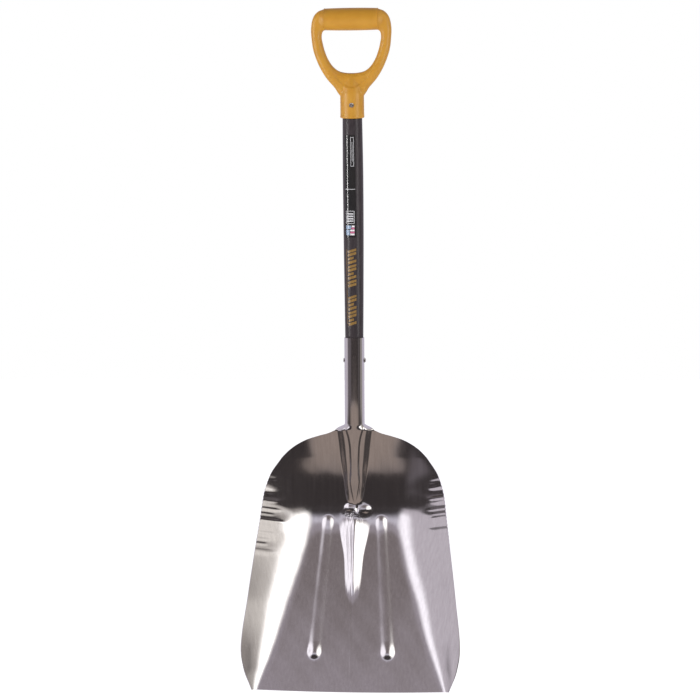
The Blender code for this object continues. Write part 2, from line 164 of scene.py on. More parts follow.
def smoothstep(low, high, value):
    t = np.clip((value - low) / (high - low), 0.0, 1.0)
    return t * t * (3 - 2 * t)


def bump(q):
    """1 at q = 0 falling smoothly to 0 at q = 1 and beyond."""
    return np.where(np.abs(q) < 1, (1 - np.clip(q, -1, 1) ** 2) ** 2, 0.0)


def make_object(name, points, faces, smooth=40):
    """Smooth-shaded object, with edges over the angle in degrees sharp; 0 leaves them all smooth."""
    mesh = bpy.data.meshes.new(name)
    mesh.from_pydata([tuple(p) for p in points], [], faces)
    mesh.validate()
    obj = bpy.data.objects.new(name, mesh)
    bpy.context.scene.collection.objects.link(obj)
    mesh.shade_smooth()
    if smooth:
        mesh.set_sharp_from_angle(angle=radians(smooth))
    return obj


def shade(obj, angle):
    """Smooth shading, except over edges sharper than the angle in degrees."""
    obj.data.shade_smooth()
    obj.data.set_sharp_from_angle(angle=radians(angle))


def grid_faces(rows, columns, closed=False):
    """Quads over a grid of points stored row by row; a closed grid joins its last column to its first."""
    faces = []
    for j in range(rows - 1):
        for i in range(columns if closed else columns - 1):
            k = (i + 1) % columns
            faces.append((j * columns + i, j * columns + k, (j + 1) * columns + k, (j + 1) * columns + i))
    return faces


# ================================================================ camera

CAMERA_AZIMUTH = radians(3.9)
CAMERA_DISTANCE = 3.0
CAMERA_LENS = 88.2
CAMERA_ROLL = 0.00093
CAMERA_TARGET = Vector((-0.0045, 0.0, 0.5868))

camera_data = bpy.data.cameras.new("camera")
camera_data.lens = CAMERA_LENS
camera_data.sensor_width = 36.0
camera = bpy.data.objects.new("camera", camera_data)
bpy.context.scene.collection.objects.link(camera)
back = Vector((sin(CAMERA_AZIMUTH), -cos(CAMERA_AZIMUTH), 0.0))
camera.location = CAMERA_TARGET + back * CAMERA_DISTANCE
camera.rotation_mode = "QUATERNION"
camera.rotation_quaternion = ((-back).to_track_quat("-Z", "Y").to_matrix()
                              @ Matrix.Rotation(CAMERA_ROLL, 3, "Z")).to_quaternion()
bpy.context.scene.camera = camera
bpy.context.scene.view_settings.view_transform = "Standard"


# ================================================================ studio

def node(tree, kind, inputs=None, **settings):
    """Adds a node; inputs maps a socket's name or number to a value or to another node's output."""
    made = tree.nodes.new(kind)
    for key, value in settings.items():
        setattr(made, key, value)
    for key, value in (inputs or {}).items():
        if isinstance(value, bpy.types.NodeSocket):
            tree.links.new(value, made.inputs[key])
        else:
            made.inputs[key].default_value = value
    return made


def maths(tree, operation, a, b=None, c=None):
    inputs = {0: a}
    if b is not None:
        inputs[1] = b
    if c is not None:
        inputs[2] = c
    return node(tree, "ShaderNodeMath", inputs, operation=operation).outputs[0]


def band(tree, value, low, high, soft):
    """1 between low and high, fading to 0 over soft on each side."""
    rise = node(tree, "ShaderNodeMapRange", {0: value, 1: low - soft, 2: low + soft, 3: 0.0, 4: 1.0},
                interpolation_type="SMOOTHSTEP").outputs[0]
    fall = node(tree, "ShaderNodeMapRange", {0: value, 1: high - soft, 2: high + soft, 3: 1.0, 4: 0.0},
                interpolation_type="SMOOTHSTEP").outputs[0]
    return maths(tree, "MULTIPLY", rise, fall)


ROOM_LEFT = (0.62, 0.57, 0.63)
ROOM_RIGHT = (0.33, 0.30, 0.285)
# What the shovel mirrors, each layer over the ones before it: which side (None is both), then the low end,
# high end and softness of its turn and of its rise in degrees, then its colour. Turn 0 is the load side, and
# it grows to the right.
ROOM_LAYERS = (
    (None, (0, 26, 10), (12, 30, 4), (0.66, 0.63, 0.72)),
    (None, (0, 26, 10), (30, 38.5, 3), (0.36, 0.32, 0.36)),
    (None, (0, 24, 10), (38.5, 74, 2), (0.215, 0.182, 0.187)),
    (None, (0, 73, 8), (-13.5, 8.0, 1.5), (0.045, 0.038, 0.039)),
    (None, (0, 30, 8), (4.0, 19.5, 6.0), (0.045, 0.038, 0.039)),
    (-1, (38, 80, 10), (-13.5, -4.0, 2.5), (0.16, 0.14, 0.155)),
    (1, (49, 61, 5), (-13.5, -3.0, 2.5), (0.13, 0.115, 0.12)),
    (None, (0, 92, 8), (-95, -13.5, 1.5), (0.34, 0.275, 0.245)),
    (None, (48, 108, 16), (-45.0, -12.0, 4.0), (0.070, 0.060, 0.058)),
    (None, (104, 200, 10), (-95, 95, 5), (0.62, 0.58, 0.68)),
    (1, (19, 60, 9), (15, 66, 4.5), (2.1, 2.05, 2.0)),
    (1, (60, 86, 10), (12, 66, 8), (0.90, 0.85, 0.80)),
    (-1, (25, 45, 7), (15, 66, 4.5), (1.35, 1.30, 1.40)),
    (None, (0, 200, 10), (76, 95, 6), (0.06, 0.055, 0.06)),
)
ALL_ROUND = 200               # past the largest turn
MIDDLE_SOFTNESS = 25
ROOM_FILL = 0.13              # how much the room lights what isn't a mirror
FILL_COLOUR = (0.95, 0.95, 1.0)


def mixed_colour(tree, factor, low, high):
    return node(tree, "ShaderNodeMix", {0: factor, 6: low, 7: high}, data_type="RGBA").outputs[2]


def background(tree, colour, strength):
    return node(tree, "ShaderNodeBackground", {0: colour, 1: strength}).outputs[0]


def build_world():
    """A photographer's room by direction: lamps beside the camera, a dark band round it, a warm floor."""
    world = bpy.data.worlds.new("studio")
    bpy.context.scene.world = world
    world.use_nodes = True
    tree = world.node_tree
    tree.nodes.clear()
    direction = node(tree, "ShaderNodeTexCoord").outputs["Generated"]
    parts = node(tree, "ShaderNodeSeparateXYZ", {0: direction}).outputs
    towards = maths(tree, "MULTIPLY", parts[1], -1.0)
    turn = maths(tree, "ARCTAN2", parts[0], towards)
    turn = maths(tree, "MULTIPLY", turn, 180 / pi)
    aside = maths(tree, "ABSOLUTE", turn)
    rise = maths(tree, "MULTIPLY", maths(tree, "ARCSINE", parts[2]), 180 / pi)
    colour = mixed_colour(tree, band(tree, turn, 0, ALL_ROUND, MIDDLE_SOFTNESS), (*ROOM_LEFT, 1),
                          (*ROOM_RIGHT, 1))
    for side, (low, high, soft), up, tint in ROOM_LAYERS:
        value = aside if side is None else maths(tree, "MULTIPLY", turn, float(side))
        if side is None and low == 0:
            low = -300        # a layer on both sides has no edge between them
        factor = maths(tree, "MULTIPLY", band(tree, value, low, high, soft), band(tree, rise, *up))
        colour = mixed_colour(tree, factor, colour, (*tint, 1))
    path = node(tree, "ShaderNodeLightPath").outputs
    room = background(tree, colour, 1.0)
    soft = background(tree, (*FILL_COLOUR, 1), ROOM_FILL)
    plain = background(tree, (1.0, 1.0, 1.0, 1), 1.0)
    lit = node(tree, "ShaderNodeMixShader", {0: path["Is Diffuse Ray"], 1: room, 2: soft}).outputs[0]
    mixed = node(tree, "ShaderNodeMixShader", {0: path["Is Camera Ray"], 1: lit, 2: plain}).outputs[0]
    node(tree, "ShaderNodeOutputWorld", {0: mixed})


FLOOR_REACH = 30.0
FLOOR_GLOW = 0.90


def build_floor():
    far = FLOOR_REACH
    floor = make_object("floor", [(-far, -far, 0), (far, -far, 0), (far, far, 0), (-far, far, 0)],
                        [(0, 1, 2, 3)], smooth=0)
    mat = bpy.data.materials.new("pale_floor")
    mat.use_nodes = True
    shader = mat.node_tree.nodes["Principled BSDF"]
    shader.inputs["Base Color"].default_value = (0.80, 0.80, 0.80, 1)
    shader.inputs["Roughness"].default_value = 0.9
    shader.inputs["Emission Color"].default_value = (1, 1, 1, 1)
    shader.inputs["Emission Strength"].default_value = FLOOR_GLOW
    floor.data.materials.append(mat)
    floor.visible_glossy = False


def area_light(name, location, target, size, power, colour):
    data = bpy.data.lights.new(name, "AREA")
    data.shape = "RECTANGLE"
    data.size, data.size_y = size
    data.energy = power
    data.color = colour
    light = bpy.data.objects.new(name, data)
    bpy.context.scene.collection.objects.link(light)
    light.location = location
    light.rotation_mode = "QUATERNION"
    light.rotation_quaternion = (Vector(target) - Vector(location)).to_track_quat("-Z", "Y")
    light.visible_glossy = False
    return light


# ================================================================ scoop blade

# Grooves that deep drawing leaves at the rim: (height at the rim, reach inwards, half-width, depth). A
# negative depth is a raised fold.
LEFT_FOLDS = ((0.3590, 0.018, 0.0050, -0.00038), (0.3370, 0.022, 0.0055, -0.00045),
              (0.3220, 0.030, 0.0048, 0.00052), (0.3070, 0.036, 0.0042, 0.00068),
              (0.2985, 0.026, 0.0034, 0.00030), (0.2880, 0.046, 0.0050, 0.00090),
              (0.2660, 0.038, 0.0046, 0.00068), (0.2560, 0.026, 0.0034, 0.00030),
              (0.2480, 0.022, 0.0036, 0.00045), (0.2350, 0.042, 0.0060, 0.00060))
RIGHT_FOLDS = ((0.3560, 0.026, 0.0050, -0.00045), (0.3460, 0.028, 0.0050, 0.00060),
               (0.3290, 0.034, 0.0046, 0.00068), (0.3210, 0.026, 0.0034, 0.00030),
               (0.3100, 0.036, 0.0044, 0.00060), (0.3020, 0.028, 0.0034, 0.00038),
               (0.2940, 0.034, 0.0042, 0.00060), (0.2800, 0.038, 0.0046, -0.00060),
               (0.2690, 0.028, 0.0046, -0.00045), (0.2560, 0.022, 0.0046, 0.00045))
FOLD_LEAN = 0.20              # height lost per length going inwards
FOLD_LEVEL = 0.5              # share of its reach over which a groove keeps its full depth
# Low mounds that gather the grooves: (height at the rim, reach inwards, half-height, how far they stand out)
LEFT_PADS = ((0.3010, 0.060, 0.0190, 0.0018), (0.2580, 0.060, 0.0210, 0.0018),
             (0.3330, 0.044, 0.0160, 0.0009))
RIGHT_PADS = ((0.3400, 0.044, 0.0160, 0.0010), (0.3120, 0.050, 0.0160, 0.0013),
              (0.2840, 0.050, 0.0150, 0.0013))
# Crumpled lobes at the heel: (x, height, half-width, half-height, how far they stand out)
HEEL_LOBES = ((0.0045, 0.3000, 0.0300, 0.0185, 0.0030), (-0.0105, 0.3050, 0.0100, 0.0090, 0.0015),
              (0.0200, 0.3020, 0.0115, 0.0090, 0.0013), (0.0040, 0.3030, 0.0045, 0.0080, -0.0016))
CRUMPLE = 0.00026             # height of the fine crumpling over those lobes
CRUMPLE_HALF = 0.032
CRUMPLE_Z = 0.295
CRUMPLE_HALF_Z = 0.020
PROFILE_OVERRUN = 0.03        # how far past its last point a profile's integral runs


def table_of(points, step=0.0005):
    """Running integral of a profile from height zero, as two arrays to interpolate in."""
    heights = np.arange(points[0][0], points[-1][0] + PROFILE_OVERRUN, step)
    slopes = curve(points, heights)
    total = np.concatenate(([0.0], np.cumsum((slopes[1:] + slopes[:-1]) / 2 * step)))
    return heights, total - np.interp(0.0, heights, total)


FLOOR_DEPTH = table_of(BACK_SLOPE)


def rib_height(x, z):
    """The two floor ribs: pill-shaped from above, highest at their ends."""
    low, high = np.array(RIB_LOW), np.array(RIB_HIGH)
    along = high - low
    dx, dz = np.abs(x) - low[0], z - low[1]
    share = np.clip((dx * along[0] + dz * along[1]) / (along @ along), 0, 1)
    half = RIB_HALF * (RIB_WIDEN - RIB_TAPER * share)
    q = np.hypot(dx - share * along[0], dz - share * along[1]) / half
    return curve(RIB_RISE, share) * bump(q)


def ridge_height(x, z):
    """Ridge down the back wall: a flat crown, a step to a narrow ledge, and a longer flank on each side."""
    half = curve(RIDGE_HALF, z)
    crown = curve(RIDGE_CROWN, z)
    width = half - crown
    upper = smoothstep(crown, crown + RIDGE_STEP_WIDTH * width, np.abs(x))
    lower = smoothstep(crown + RIDGE_LEDGE_WIDTH * width, half, np.abs(x))
    section = 1 - RIDGE_STEP * upper - RIDGE_FLANK * lower
    return np.where(z > RIDGE[0][0], curve(RIDGE, z) * section, 0.0)


def vee_height(x, z):
    """Creased ridge running down from the heel, steep at its crown and fading into the floor."""
    crown = np.sqrt(x * x + VEE_CROWN ** 2) - VEE_CROWN
    flank = np.clip(1 - crown / curve(VEE_HALF, z), 0.0, 1.0)
    marks = sum(size * np.sin(x * turns * pi / FLUTE_PITCH + drift * z)
                for size, turns, drift in FLUTE_WAVES)
    flutes = np.where(x < 0, LEFT_FLUTES, RIGHT_FLUTES) * marks * bump(1 - flank)
    return (curve(VEE_RISE, z) * flank ** VEE_SHARPNESS + flutes) * (1 - smoothstep(*VEE_TOP_Z, z))


def rim_folds(x, z):
    """Grooves and pads along both sides of the rim."""
    total = np.zeros_like(x)
    from_rim = curve(RIM, z) - np.abs(x)
    for side, folds, pads in ((-1, LEFT_FOLDS, LEFT_PADS), (1, RIGHT_FOLDS, RIGHT_PADS)):
        here = (x * side > 0) * 1.0
        level = z + FOLD_LEAN * from_rim
        for height, reach, half, depth in folds:
            past = np.maximum(from_rim - reach * FOLD_LEVEL, 0) / (reach * FOLD_LEVEL)
            total -= here * depth * bump(np.hypot(past, (level - height) / half))
        for height, reach, half, rise in pads:
            total += here * rise * bump(np.hypot(from_rim / reach, (level - height) / half))
    return total


def heel_height(x, z):
    """Knuckle of pushed-up metal at the heel; the crumpling's waves are in radians per metre."""
    total = np.zeros_like(x)
    for cx, cz, half_x, half_z, height in HEEL_LOBES:
        total += height * bump(np.hypot((x - cx) / half_x, (z - cz) / half_z))
    inside = bump(np.hypot(x / CRUMPLE_HALF, (z - CRUMPLE_Z) / CRUMPLE_HALF_Z))
    crumple = (np.sin(x * 1150 + 2.1 * np.sin(z * 700)) * np.sin(z * 1000 + 1.7 * np.sin(x * 600))
               + 0.6 * np.sin(x * 1900 - z * 1500))
    return total + inside * crumple * CRUMPLE


def sheet_waves(x, z):
    """Unevenness of pressed sheet in metres, too shallow to see except in its reflections."""
    return (0.00016 * np.sin(x * 34 + 1.3) * np.sin(z * 27 + 0.4) + 0.00008 * np.sin(x * 71 - z * 44 + 0.8)
            + 0.00003 * np.sin(x * 150 + z * 118))


def wall_rise(x, z):
    """How far a side wall has come forward of the floor; its slope grows from the crease to the rim."""
    rim = curve(RIM, z)
    crease = curve(CREASE, z)
    start = crease - curve(CREASE_INNER, z)
    power = curve(WALL_POWER, z)
    full = curve(SIDE_SLOPE, z) * (rim - crease) * curve(WALL_SHARE, z)
    t = (np.abs(x) - start) / (rim - start)
    inner = np.clip(t, 0.0, 1.0)
    share = inner - (1 - (1 - inner) ** (power + 1)) / (power + 1) + np.maximum(t - 1, 0)
    return full * share * (power + 1) / power


def sheet_depth(x, z):
    """Y of the blade's middle surface."""
    depth = np.interp(z, *FLOOR_DEPTH) - wall_rise(x, z)
    above = np.maximum(z - TWIST_START_Z, 0.0)
    depth += BACK_TWIST * smoothstep(*TWIST_X, np.abs(x)) * above * above / (above + TWIST_EASE)
    depth += HEEL_LIFT * smoothstep(*LIFT_X, np.abs(x)) * smoothstep(*LIFT_Z, z)
    depth -= rib_height(x, z) + ridge_height(x, z) + vee_height(x, z)
    depth -= rim_folds(x, z) + heel_height(x, z) + sheet_waves(x, z)
    return depth - ORIGIN_DEPTH


def axis_point(z):
    """Point on the shaft's axis: straight in the socket, then bending towards the load side."""
    bend = (GRIP_LEAN - AXIS_LEAN) / (BEND_END_Z - BEND_START_Z)
    inside = min(max(z - BEND_START_Z, 0.0), BEND_END_Z - BEND_START_Z)
    depth = AXIS_DEPTH - AXIS_LEAN * (z - AXIS_Z) - bend * inside * inside / 2
    depth -= (GRIP_LEAN - AXIS_LEAN) * max(z - BEND_END_Z, 0.0)
    return Vector((0.0, depth - ORIGIN_DEPTH, z))


def axis_back(z):
    """Direction square to the axis, away from the load side."""
    along = (axis_point(z + 0.001) - axis_point(z - 0.001)).normalized()
    return Vector((0.0, along.z, -along.y))


def on_shaft(z, angle, radius):
    """Point round the shaft's axis: angle 0 is the load side, pi/2 is +X."""
    return axis_point(z) + Vector((radius * sin(angle), 0, 0)) - axis_back(z) * (radius * cos(angle))


def blade_columns(z, t, rim):
    """The x of half a row's points, which follow the rib and the crease; t is 1 at the tab's row."""
    rib = np.interp(z, (RIB_LOW[1], RIB_HIGH[1]), (RIB_LOW[0], RIB_HIGH[0])) * (1 - t) + TOP_RIB_X * t
    tab = np.interp(z, *TAB_COLUMNS)
    crease = float(curve(CREASE, z)) * (1 - t) + TOP_CREASE_X * t
    edges = (0.0, tab, rib - RIB_HALF, rib + RIB_HALF, crease, rim)
    columns = [np.zeros(1)]
    for low, high, count in zip(edges, edges[1:], BLADE_STEPS):
        columns.append(low + (high - low) * np.arange(1, count + 1) / count)
    return np.concatenate(columns)


def blade_row(z):
    """A whole row of the blade's middle surface, left rim to right rim."""
    t = max(z - SHOULDER_START_Z, 0.0) / (TAB_Z - SHOULDER_START_Z)
    rim = float(curve(RIM, z - t * SHOULDER_DROP))
    half = blade_columns(z, t, rim)
    x = np.concatenate((-half[:0:-1], half))
    side = np.abs(x)
    height = z - t * SHOULDER_DROP * curve(TOP_EDGE, side / rim)
    height += FRONT_BOW * (side / CREASE[0][1]) ** 2 * (1 - smoothstep(0.0, FRONT_BOW_FADE, z))
    nick = NICK_DEPTH * np.sin(height * 2 * pi / NICK_PITCH)
    nick = nick * smoothstep(*NICK_START_Z, z) * (1 - smoothstep(*NICK_END_Z, z))
    x = x * (1 + nick * smoothstep(*NICK_SHARE, side / rim) / rim)
    return np.stack((x, sheet_depth(x, height), height), axis=1)


def socket_row(z):
    """A whole row of the tab, folding back off the blade to wrap the shaft."""
    flare = 1 - float(smoothstep(*FLARE_Z, z))
    wrap = FLAP_OPEN + (FLAP_SHUT - FLAP_OPEN) * float(smoothstep(*SEAM_Z, z))
    share = np.arange(-TAB_STEPS, TAB_STEPS + 1) / TAB_STEPS
    tube = np.array([on_shaft(z, wrap * s, SOCKET_RADIUS - SHEET / 2) for s in share])
    tube[:, 1] += SAG * max(SAG_Z - z, 0.0) ** 2
    flat_x = TAB_HALF * share
    flat_z = np.full_like(share, z)
    flat = np.stack((flat_x, sheet_depth(flat_x, flat_z), flat_z), axis=1)
    return tube * (1 - flare) + flat * flare


def spread(spans):
    """Heights that fill each (lowest, highest, step) span evenly, and the last span's end."""
    heights = []
    for low, high, step in spans:
        heights += list(np.linspace(low, high, max(int(round((high - low) / step)), 1), endpoint=False))
    return heights + [spans[-1][1]]


def build_blade():
    """The sheet as rows of quads, blade then socket, whose rows are shorter."""
    rows = [blade_row(z) for z in spread(BLADE_ROWS)] + [socket_row(z) for z in spread(TAB_ROWS)]
    starts = np.cumsum([0] + [len(row) for row in rows])
    faces = []
    for j, (low, high) in enumerate(zip(rows, rows[1:])):
        reach = min(len(low), len(high)) // 2
        low_middle, high_middle = starts[j] + len(low) // 2, starts[j + 1] + len(high) // 2
        for i in range(-reach, reach):
            faces.append((low_middle + i, low_middle + i + 1, high_middle + i + 1, high_middle + i))
    blade = make_object("scoop_sheet", np.concatenate(rows), faces, smooth=0)
    solid = blade.modifiers.new("sheet", "SOLIDIFY")
    solid.thickness = SHEET
    solid.offset = 0.0
    solid.use_even_offset = False
    cut_holes(blade, [("sheet_rivet_hole", socket_rivet_frame(), RIVET_HOLE)])
    apply_modifiers(blade)
    shade(blade, 48)
    return blade


def socket_rivet_frame():
    """Places a rivet along X; the frames below place the grip and its rivet."""
    return Matrix.Translation(axis_point(SOCKET_RIVET_Z)) @ Matrix.Rotation(pi / 2, 4, "Y")


def grip_frame():
    return Matrix.Translation(axis_point(GRIP_Z)) @ Matrix.Rotation(atan(GRIP_LEAN), 4, "X")


def grip_rivet_frame():
    return grip_frame() @ Matrix.Translation((0, 0, GRIP_RIVET_Z)) @ Matrix.Rotation(-pi / 2, 4, "X")


def rings(profile, matrix, sides):
    """Rings of points about the matrix's Z axis, one for each (position, radius)."""
    points = []
    for position, radius in profile:
        for k in range(sides):
            angle = 2 * pi * k / sides
            points.append(matrix @ Vector((radius * cos(angle), radius * sin(angle), position)))
    return points


def turned(name, profile, matrix, sides, smooth=35):
    """Solid turned about the matrix's Z axis from (position, radius) points, closed at both ends."""
    points = rings(profile, matrix, sides)
    faces = grid_faces(len(profile), sides, closed=True)
    faces.append(tuple(range(sides))[::-1])
    faces.append(tuple(range((len(profile) - 1) * sides, len(profile) * sides)))
    obj = make_object(name, points, faces, smooth)
    bm = bmesh.new()
    bm.from_mesh(obj.data)
    bmesh.ops.recalc_face_normals(bm, faces=bm.faces)
    bm.to_mesh(obj.data)
    bm.free()
    return obj


def cut_holes(obj, holes):
    """Adds a cut for each (name, frame, radius); apply_modifiers makes them."""
    for name, matrix, radius in holes:
        cutter = turned(name, ((-CUTTER_REACH, radius), (CUTTER_REACH, radius)), matrix, CUTTER_SIDES)
        modifier = obj.modifiers.new(name, "BOOLEAN")
        modifier.operation = "DIFFERENCE"
        modifier.object = cutter


def apply_modifiers(obj):
    """Bakes an object's modifiers into its mesh and removes the cutters that they used."""
    bpy.context.view_layer.update()
    mesh = bpy.data.meshes.new_from_object(obj.evaluated_get(bpy.context.evaluated_depsgraph_get()))
    cutters = [m.object for m in obj.modifiers if m.type == "BOOLEAN"]
    obj.modifiers.clear()
    obj.data = mesh
    for cutter in cutters:
        bpy.data.objects.remove(cutter)


# ================================================================ materials

def new_material(name, colour, roughness, metallic=0.0, **sockets):
    """A material, its node tree and its shader, with plain values that nodes may then replace."""
    mat = bpy.data.materials.new(name)
    mat.use_nodes = True
    shader = mat.node_tree.nodes["Principled BSDF"]
    shader.inputs["Base Color"].default_value = (*colour, 1)
    shader.inputs["Roughness"].default_value = roughness
    shader.inputs["Metallic"].default_value = metallic
    for key, value in sockets.items():
        shader.inputs[key.replace("_", " ")].default_value = value
    return mat, mat.node_tree, shader


def noise(tree, scale, detail=3.0, roughness=0.5):
    """Noise with its own scale per metre along each axis."""
    position = node(tree, "ShaderNodeTexCoord").outputs["Object"]
    coordinates = node(tree, "ShaderNodeMapping", {"Vector": position, "Scale": scale}).outputs[0]
    made = node(tree, "ShaderNodeTexNoise", {"Vector": coordinates, "Scale": 1.0, "Detail": detail,
                                             "Roughness": roughness})
    return made.outputs["Fac"]


def tinted(tree, factor, low, high, colour_a, colour_b):
    """One colour where the factor is low, the other where it is high."""
    ramp_node = tree.nodes.new("ShaderNodeValToRGB")
    tree.links.new(factor, ramp_node.inputs[0])
    ramp_node.color_ramp.elements[0].position = low
    ramp_node.color_ramp.elements[0].color = (*colour_a, 1)
    ramp_node.color_ramp.elements[1].position = high
    ramp_node.color_ramp.elements[1].color = (*colour_b, 1)
    return ramp_node.outputs[0]


def link(tree, output, shader, socket):
    tree.links.new(output, shader.inputs[socket])


def grained(tree, shader, height, strength, distance):
    """Fine grain as bump, too small to model."""
    grain = node(tree, "ShaderNodeBump", {"Height": height, "Strength": strength, "Distance": distance})
    link(tree, grain.outputs[0], shader, "Normal")


def aluminium():
    mat, tree, shader = new_material("brushed_aluminium", (0.74, 0.72, 0.72), 0.13, 1.0)
    lines = noise(tree, (1500, 1500, 22), 2.0)
    broad = noise(tree, (240, 240, 5), 2.0)
    cloud = noise(tree, (9, 9, 9), 3.0)
    both = maths(tree, "MULTIPLY_ADD", broad, 0.5, maths(tree, "MULTIPLY", lines, 0.5))
    colour = tinted(tree, both, 0.3, 0.7, (0.67, 0.65, 0.65), (0.80, 0.785, 0.785))
    link(tree, colour, shader, "Base Color")
    rough = maths(tree, "MULTIPLY_ADD", lines, 0.10, maths(tree, "MULTIPLY_ADD", cloud, 0.06, 0.05))
    link(tree, rough, shader, "Roughness")
    grained(tree, shader, both, 0.35, 0.00004)
    return mat


def charcoal_paint():
    mat, tree, shader = new_material("charcoal_paint", (0.03, 0.025, 0.028), 0.38, Specular_IOR_Level=0.22)
    grain = noise(tree, (420, 420, 9), 4.0, 0.6)
    pores = noise(tree, (1600, 1600, 60), 2.0)
    colour = tinted(tree, grain, 0.35, 0.70, (0.026, 0.021, 0.024), (0.044, 0.036, 0.040))
    link(tree, colour, shader, "Base Color")
    rough = maths(tree, "MULTIPLY_ADD", grain, 0.18, 0.26)
    link(tree, rough, shader, "Roughness")
    both = maths(tree, "MULTIPLY_ADD", pores, 0.4, maths(tree, "MULTIPLY", grain, 0.6))
    grained(tree, shader, both, 0.5, 0.00012)
    return mat


def yellow_plastic():
    mat, tree, shader = new_material("golden_plastic", (0.440, 0.211, 0.016), 0.42)
    shader.inputs["Subsurface Weight"].default_value = 0.12
    shader.inputs["Subsurface Radius"].default_value = (0.004, 0.002, 0.0008)
    shader.inputs["Subsurface Scale"].default_value = 1.0
    cloud = noise(tree, (60, 60, 60), 3.0)
    grit = noise(tree, (2200, 2200, 2200), 2.0)
    colour = tinted(tree, cloud, 0.3, 0.7, (0.420, 0.198, 0.014), (0.460, 0.224, 0.018))
    link(tree, colour, shader, "Base Color")
    rough = maths(tree, "MULTIPLY_ADD", cloud, 0.12, 0.36)
    link(tree, rough, shader, "Roughness")
    grained(tree, shader, grit, 0.25, 0.00006)
    return mat


INK_SPREAD = 0.15             # share by which a film's or an ink's colour varies


def film(name, colour, roughness):
    mat, tree, shader = new_material(name, colour, roughness)
    cloud = noise(tree, (300, 300, 120), 3.0)
    low = tuple(c * (1 - INK_SPREAD) for c in colour)
    high = tuple(min(c * (1 + INK_SPREAD), 1.0) for c in colour)
    link(tree, tinted(tree, cloud, 0.3, 0.7, low, high), shader, "Base Color")
    grained(tree, shader, cloud, 0.15, 0.00005)
    return mat


def rivet_steel():
    mat, tree, shader = new_material("rivet_steel", (0.62, 0.60, 0.58), 0.22, 1.0)
    wear = noise(tree, (900, 900, 900), 3.0)
    colour = tinted(tree, wear, 0.3, 0.7, (0.50, 0.48, 0.46), (0.70, 0.68, 0.66))
    link(tree, colour, shader, "Base Color")
    link(tree, maths(tree, "MULTIPLY_ADD", wear, 0.2, 0.14), shader, "Roughness")
    return mat


# ================================================================ shaft

SHAFT_IN_SOCKET = ((0.474, 0.0120), (0.500, 0.0148), (0.530, 0.01552), (0.6085, 0.01552))
SHAFT_SEEN = ((0.6095, 0.01615), (0.700, 0.0170), (0.800, 0.0178), (0.889, 0.0180), (0.950, 0.0176),
              (0.9904, 0.01715))
SHAFT_IN_GRIP = ((0.9908, 0.01580), (1.0286, 0.01580), (1.0336, 0.01480))
SHAFT_SIDES = 96
SHAFT_RINGS = 90
OUT_OF_ROUND = 0.0016         # share of the radius, over three lobes that turn slowly along the shaft
LOBES = 3
LOBE_TWIST = 25


def shaft_radius(z):
    return float(curve(SHAFT_SEEN, z))


def build_shaft():
    """Turned wooden shaft, bent towards the load side, a hair out of round like any turned wood."""
    heights = np.linspace(SHAFT_SEEN[0][0], SHAFT_SEEN[-1][0], SHAFT_RINGS)
    stations = [*SHAFT_IN_SOCKET, *((z, shaft_radius(z)) for z in heights), *SHAFT_IN_GRIP]
    points = []
    for z, radius in stations:
        for k in range(SHAFT_SIDES):
            angle = 2 * pi * k / SHAFT_SIDES
            lobe = sin(LOBES * angle + z * LOBE_TWIST)
            points.append(on_shaft(z, angle, radius * (1 + OUT_OF_ROUND * lobe)))
    faces = grid_faces(len(stations), SHAFT_SIDES, closed=True)
    faces.append(tuple(range(SHAFT_SIDES))[::-1])
    faces.append(tuple(range(len(points) - SHAFT_SIDES, len(points))))
    shaft = make_object("painted_shaft", points, faces)
    cut_holes(shaft, [("shaft_hole_low", socket_rivet_frame(), RIVET_HOLE),
                      ("shaft_hole_high", grip_rivet_frame(), RIVET_HOLE)])
    apply_modifiers(shaft)
    shade(shaft, 40)
    return shaft


# ================================================================ D-grip

GRIP_RIVET_Z = 0.0232
FERRULE_BORE = 0.0161
FERRULE_DEPTH = 0.046
FERRULE = ((0.0, 0.0206), (0.0004, 0.0211), (0.0014, 0.0213), (0.0032, 0.0212), (0.0050, 0.0208),
           (0.0424, 0.0207), (0.0564, 0.0180), (0.0694, 0.0130), (0.0764, 0.0070))
FRAME_THICKNESS = 0.0250
FRAME_ROUND = 0.0092
# Half outlines in the grip's own frame: (x, height above the ferrule's underside)
GRIP_OUTER = ((0.0, 0.1862), (0.030, 0.1862), (0.050, 0.1852), (0.0608, 0.1792), (0.0668, 0.1686),
              (0.0694, 0.1530), (0.0688, 0.1374), (0.0664, 0.1184), (0.0608, 0.1004), (0.0531, 0.0834),
              (0.0430, 0.0674), (0.0300, 0.0524), (0.0195, 0.0384), (0.0, 0.0364))
GRIP_HOLE = ((0.0, 0.1520), (0.030, 0.1520), (0.0475, 0.1500), (0.0514, 0.1404), (0.0500, 0.1294),
             (0.0465, 0.1154), (0.0405, 0.1004), (0.0310, 0.0869), (0.0190, 0.0794), (0.0, 0.0771))
OUTLINE_STEPS = 6
# The hand bar: (distance from its middle, radius)
BAR_Z = 0.1690
BAR_CORE = ((0.0, 0.0180), (0.040, 0.0176), (0.0475, 0.0176), (0.0515, 0.0150), (0.056, 0.0110))
BAR_SLEEVE = ((0.0, 0.0192), (0.012, 0.01915), (0.024, 0.0190), (0.036, 0.0187), (0.0450, 0.0184),
              (0.0454, 0.0186), (0.0459, 0.01865), (0.0464, 0.0186), (0.0467, 0.0170))
GRIP_SIDES = 64
SLEEVE_SIDES = 96
WELD = 1e-5
VOXEL = 0.0011
SOFTEN = 14
